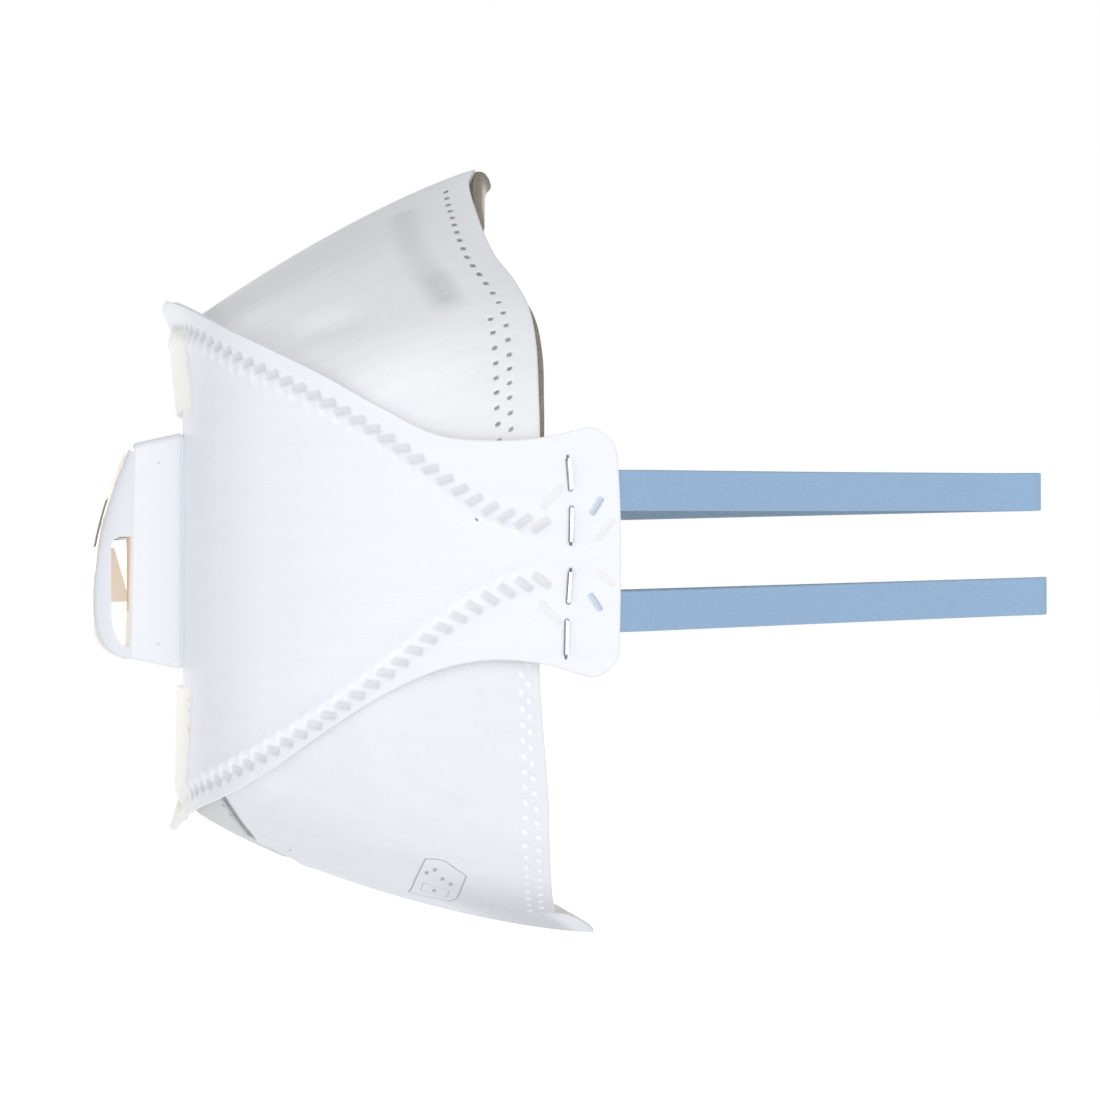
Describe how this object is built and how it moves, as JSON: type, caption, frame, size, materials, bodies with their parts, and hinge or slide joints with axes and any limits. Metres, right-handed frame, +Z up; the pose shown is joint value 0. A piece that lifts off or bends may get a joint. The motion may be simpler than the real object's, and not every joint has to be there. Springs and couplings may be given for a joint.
{
  "type": "fold-flat respirator",
  "caption": "Valved fold-flat particulate respirator, opened: U-shaped centre panel with tabs, domed upper and lower panels, exhalation valve and head straps.",
  "frame": {"origin": "the middle of the face opening, in the plane of symmetry, where the respirator sits on the face", "axes": "+X from the valve towards the wearer's head and the back of the straps, +Y to the wearer's right, +Z up towards the nose"},
  "size_m": [0.1608, 0.1102, 0.1262],
  "materials": {
    "nonwoven": "soft spunbond polypropylene, white, matt, with fine fibres and a point emboss",
    "foam": "open cell polyurethane foam, grey brown, matt",
    "clip": "rolled soft aluminium strip, satin",
    "valve_plastic": "moulded polypropylene, white, semi-gloss",
    "flap_rubber": "thin moulded silicone sheet, cream",
    "elastic": "flat braided elastic, light blue, matt",
    "staple_steel": "drawn galvanised steel wire, bright"
  },
  "bodies": {
    "root": {"centre_panel": "nonwoven", "upper_panel": "nonwoven", "lower_panel": "nonwoven", "nose_foam": "foam", "nose_clip": "clip", "valve_base": "valve_plastic", "valve_flap": "flap_rubber", "valve_cover": "valve_plastic", "upper_head_strap": "elastic", "lower_head_strap": "elastic", "upper_left_staple": "staple_steel", "upper_right_staple": "staple_steel", "lower_left_staple": "staple_steel", "lower_right_staple": "staple_steel"}
  },
  "joints": []
}
